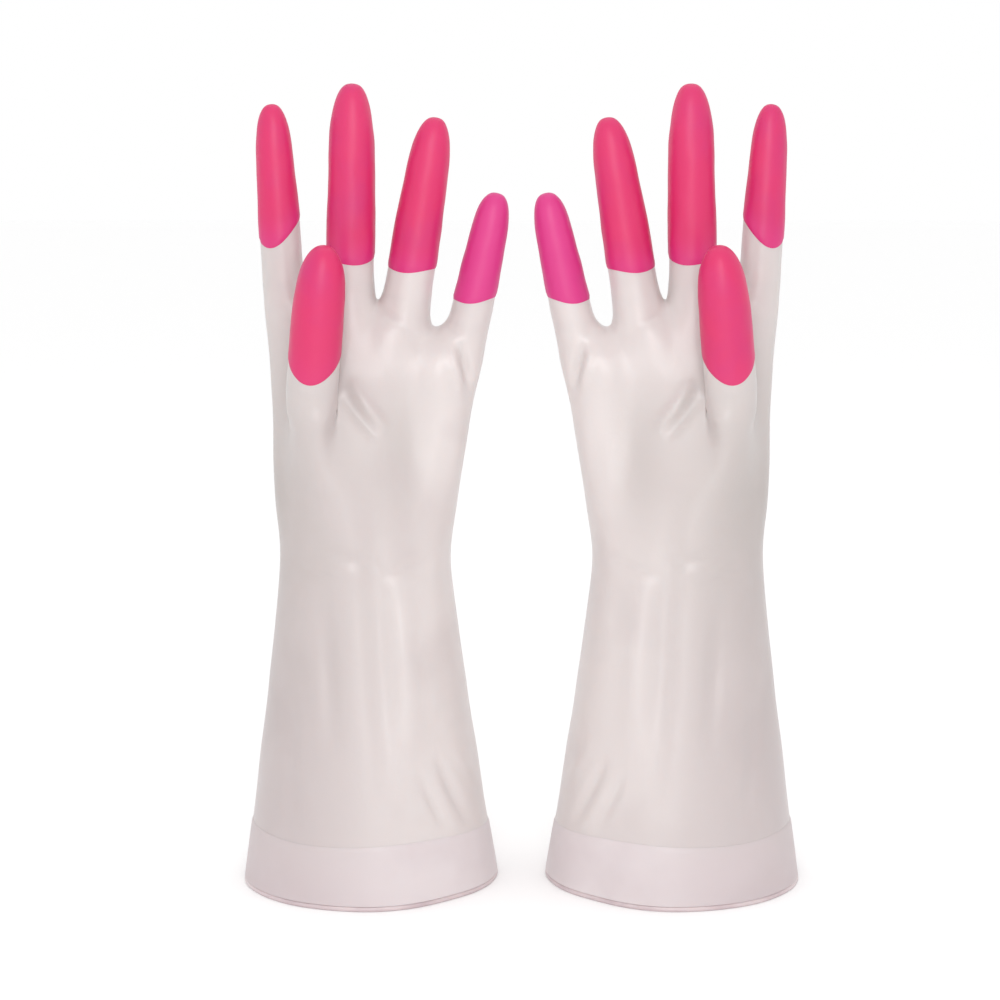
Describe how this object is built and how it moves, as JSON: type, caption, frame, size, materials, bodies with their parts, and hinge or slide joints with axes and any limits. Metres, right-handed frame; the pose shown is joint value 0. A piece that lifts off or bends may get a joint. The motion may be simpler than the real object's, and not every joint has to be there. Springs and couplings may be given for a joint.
{
  "type": "rubber gloves",
  "caption": "Pair of long-cuffed household gloves in pearly film with coloured fingertips, standing on their open cuffs.",
  "frame": {"origin": "middle of the pair on the plane that both cuff rims rest on", "axes": "+Z from the cuff rims to the fingertips, -Y the palm side, +X towards the right-hand glove"},
  "size_m": [0.2586, 0.098, 0.3608],
  "materials": {
    "vinyl_film": "satin",
    "hem_film": "satin",
    "rim_bead": "satin",
    "pink_coat": "satin"
  },
  "bodies": {
    "left_sleeve": {"left_rim": "rim_bead", "left_hem_band": "hem_film", "left_sleeve": "vinyl_film"},
    "left_hand": {"left_hand": "vinyl_film"},
    "left_index_lower": {"left_index_stall": "vinyl_film", "left_index_coat_root": "pink_coat"},
    "left_index_upper": {"left_index_tip": "vinyl_film", "left_index_coat_tip": "pink_coat"},
    "left_middle_lower": {"left_middle_stall": "vinyl_film", "left_middle_coat_root": "pink_coat"},
    "left_middle_upper": {"left_middle_tip": "vinyl_film", "left_middle_coat_tip": "pink_coat"},
    "left_ring_lower": {"left_ring_stall": "vinyl_film", "left_ring_coat_root": "pink_coat"},
    "left_ring_upper": {"left_ring_tip": "vinyl_film", "left_ring_coat_tip": "pink_coat"},
    "left_little_lower": {"left_little_stall": "vinyl_film", "left_little_coat_root": "pink_coat"},
    "left_little_upper": {"left_little_tip": "vinyl_film", "left_little_coat_tip": "pink_coat"},
    "left_thumb_lower": {"left_thumb_stall": "vinyl_film", "left_thumb_coat_root": "pink_coat"},
    "left_thumb_upper": {"left_thumb_tip": "vinyl_film", "left_thumb_coat_tip": "pink_coat"},
    "right_sleeve": {"right_rim": "rim_bead", "right_hem_band": "hem_film", "right_sleeve": "vinyl_film"},
    "right_hand": {"right_hand": "vinyl_film"},
    "right_index_lower": {"right_index_stall": "vinyl_film", "right_index_coat_root": "pink_coat"},
    "right_index_upper": {"right_index_tip": "vinyl_film", "right_index_coat_tip": "pink_coat"},
    "right_middle_lower": {"right_middle_stall": "vinyl_film", "right_middle_coat_root": "pink_coat"},
    "right_middle_upper": {"right_middle_tip": "vinyl_film", "right_middle_coat_tip": "pink_coat"},
    "right_ring_lower": {"right_ring_stall": "vinyl_film", "right_ring_coat_root": "pink_coat"},
    "right_ring_upper": {"right_ring_tip": "vinyl_film", "right_ring_coat_tip": "pink_coat"},
    "right_little_lower": {"right_little_stall": "vinyl_film", "right_little_coat_root": "pink_coat"},
    "right_little_upper": {"right_little_tip": "vinyl_film", "right_little_coat_tip": "pink_coat"},
    "right_thumb_lower": {"right_thumb_stall": "vinyl_film", "right_thumb_coat_root": "pink_coat"},
    "right_thumb_upper": {"right_thumb_tip": "vinyl_film", "right_thumb_coat_tip": "pink_coat"}
  },
  "joints": [
    {"name": "pair_spread", "type": "slide", "parent": "left_sleeve", "child": "right_sleeve", "axis": [1, 0, 0], "range_m": [0, 0.15]},
    {"name": "left_wrist", "type": "hinge", "parent": "left_sleeve", "child": "left_hand", "pos_m": [-0.0703, -0.029, 0.15], "axis": [1, 0, 0], "range_deg": [0, 25], "stiffness_Nm_per_rad": 0.15},
    {"name": "left_index_root", "type": "hinge", "parent": "left_hand", "child": "left_index_lower", "pos_m": [-0.10542, -0.00918, 0.28136], "axis": [0.999, 0, 0.0436], "range_deg": [0, 50], "stiffness_Nm_per_rad": 0.012},
    {"name": "left_index_middle", "type": "hinge", "parent": "left_index_lower", "child": "left_index_upper", "pos_m": [-0.10664, -0.01106, 0.30927], "axis": [0.999, 0, 0.0436], "range_deg": [0, 70], "stiffness_Nm_per_rad": 0.006},
    {"name": "left_middle_root", "type": "hinge", "parent": "left_hand", "child": "left_middle_lower", "pos_m": [-0.07527, -0.01038, 0.28127], "axis": [0.9997, 0, -0.0262], "range_deg": [0, 50], "stiffness_Nm_per_rad": 0.012},
    {"name": "left_middle_middle", "type": "hinge", "parent": "left_middle_lower", "child": "left_middle_upper", "pos_m": [-0.07441, -0.01282, 0.31417], "axis": [0.9997, 0, -0.0262], "range_deg": [0, 70], "stiffness_Nm_per_rad": 0.006},
    {"name": "left_ring_root", "type": "hinge", "parent": "left_hand", "child": "left_ring_lower", "pos_m": [-0.04928, -0.01057, 0.27527], "axis": [0.9848, 0, -0.1736], "range_deg": [0, 50], "stiffness_Nm_per_rad": 0.012},
    {"name": "left_ring_middle", "type": "hinge", "parent": "left_ring_lower", "child": "left_ring_upper", "pos_m": [-0.0439, -0.01248, 0.30574], "axis": [0.9848, 0, -0.1736], "range_deg": [0, 70], "stiffness_Nm_per_rad": 0.006},
    {"name": "left_little_root", "type": "hinge", "parent": "left_hand", "child": "left_little_lower", "pos_m": [-0.02169, -0.00898, 0.26239], "axis": [0.9763, 0, -0.2164], "range_deg": [0, 50], "stiffness_Nm_per_rad": 0.012},
    {"name": "left_little_middle", "type": "hinge", "parent": "left_little_lower", "child": "left_little_upper", "pos_m": [-0.01672, -0.01043, 0.2848], "axis": [0.9763, 0, -0.2164], "range_deg": [0, 70], "stiffness_Nm_per_rad": 0.006},
    {"name": "left_thumb_root", "type": "hinge", "parent": "left_hand", "child": "left_thumb_lower", "pos_m": [-0.10172, -0.02785, 0.23336], "axis": [-0.0233, -0.9816, -0.1894], "range_deg": [0, 60], "stiffness_Nm_per_rad": 0.012},
    {"name": "left_thumb_middle", "type": "hinge", "parent": "left_thumb_lower", "child": "left_thumb_upper", "pos_m": [-0.07621, -0.033, 0.25694], "axis": [0.0233, 0.9816, 0.1894], "range_deg": [0, 40], "stiffness_Nm_per_rad": 0.006},
    {"name": "right_wrist", "type": "hinge", "parent": "right_sleeve", "child": "right_hand", "pos_m": [0.0703, -0.029, 0.15], "axis": [1, 0, 0], "range_deg": [0, 25], "stiffness_Nm_per_rad": 0.15},
    {"name": "right_index_root", "type": "hinge", "parent": "right_hand", "child": "right_index_lower", "pos_m": [0.10542, -0.00918, 0.28136], "axis": [0.999, 0, -0.0436], "range_deg": [0, 50], "stiffness_Nm_per_rad": 0.012},
    {"name": "right_index_middle", "type": "hinge", "parent": "right_index_lower", "child": "right_index_upper", "pos_m": [0.10664, -0.01106, 0.30927], "axis": [0.999, 0, -0.0436], "range_deg": [0, 70], "stiffness_Nm_per_rad": 0.006},
    {"name": "right_middle_root", "type": "hinge", "parent": "right_hand", "child": "right_middle_lower", "pos_m": [0.07527, -0.01038, 0.28127], "axis": [0.9997, 0, 0.0262], "range_deg": [0, 50], "stiffness_Nm_per_rad": 0.012},
    {"name": "right_middle_middle", "type": "hinge", "parent": "right_middle_lower", "child": "right_middle_upper", "pos_m": [0.07441, -0.01282, 0.31417], "axis": [0.9997, 0, 0.0262], "range_deg": [0, 70], "stiffness_Nm_per_rad": 0.006},
    {"name": "right_ring_root", "type": "hinge", "parent": "right_hand", "child": "right_ring_lower", "pos_m": [0.04928, -0.01057, 0.27527], "axis": [0.9848, 0, 0.1736], "range_deg": [0, 50], "stiffness_Nm_per_rad": 0.012},
    {"name": "right_ring_middle", "type": "hinge", "parent": "right_ring_lower", "child": "right_ring_upper", "pos_m": [0.0439, -0.01248, 0.30574], "axis": [0.9848, 0, 0.1736], "range_deg": [0, 70], "stiffness_Nm_per_rad": 0.006},
    {"name": "right_little_root", "type": "hinge", "parent": "right_hand", "child": "right_little_lower", "pos_m": [0.02169, -0.00898, 0.26239], "axis": [0.9763, 0, 0.2164], "range_deg": [0, 50], "stiffness_Nm_per_rad": 0.012},
    {"name": "right_little_middle", "type": "hinge", "parent": "right_little_lower", "child": "right_little_upper", "pos_m": [0.01672, -0.01043, 0.2848], "axis": [0.9763, 0, 0.2164], "range_deg": [0, 70], "stiffness_Nm_per_rad": 0.006},
    {"name": "right_thumb_root", "type": "hinge", "parent": "right_hand", "child": "right_thumb_lower", "pos_m": [0.10172, -0.02785, 0.23336], "axis": [-0.0233, 0.9816, 0.1894], "range_deg": [0, 60], "stiffness_Nm_per_rad": 0.012},
    {"name": "right_thumb_middle", "type": "hinge", "parent": "right_thumb_lower", "child": "right_thumb_upper", "pos_m": [0.07621, -0.033, 0.25694], "axis": [0.0233, -0.9816, -0.1894], "range_deg": [0, 40], "stiffness_Nm_per_rad": 0.006}
  ]
}
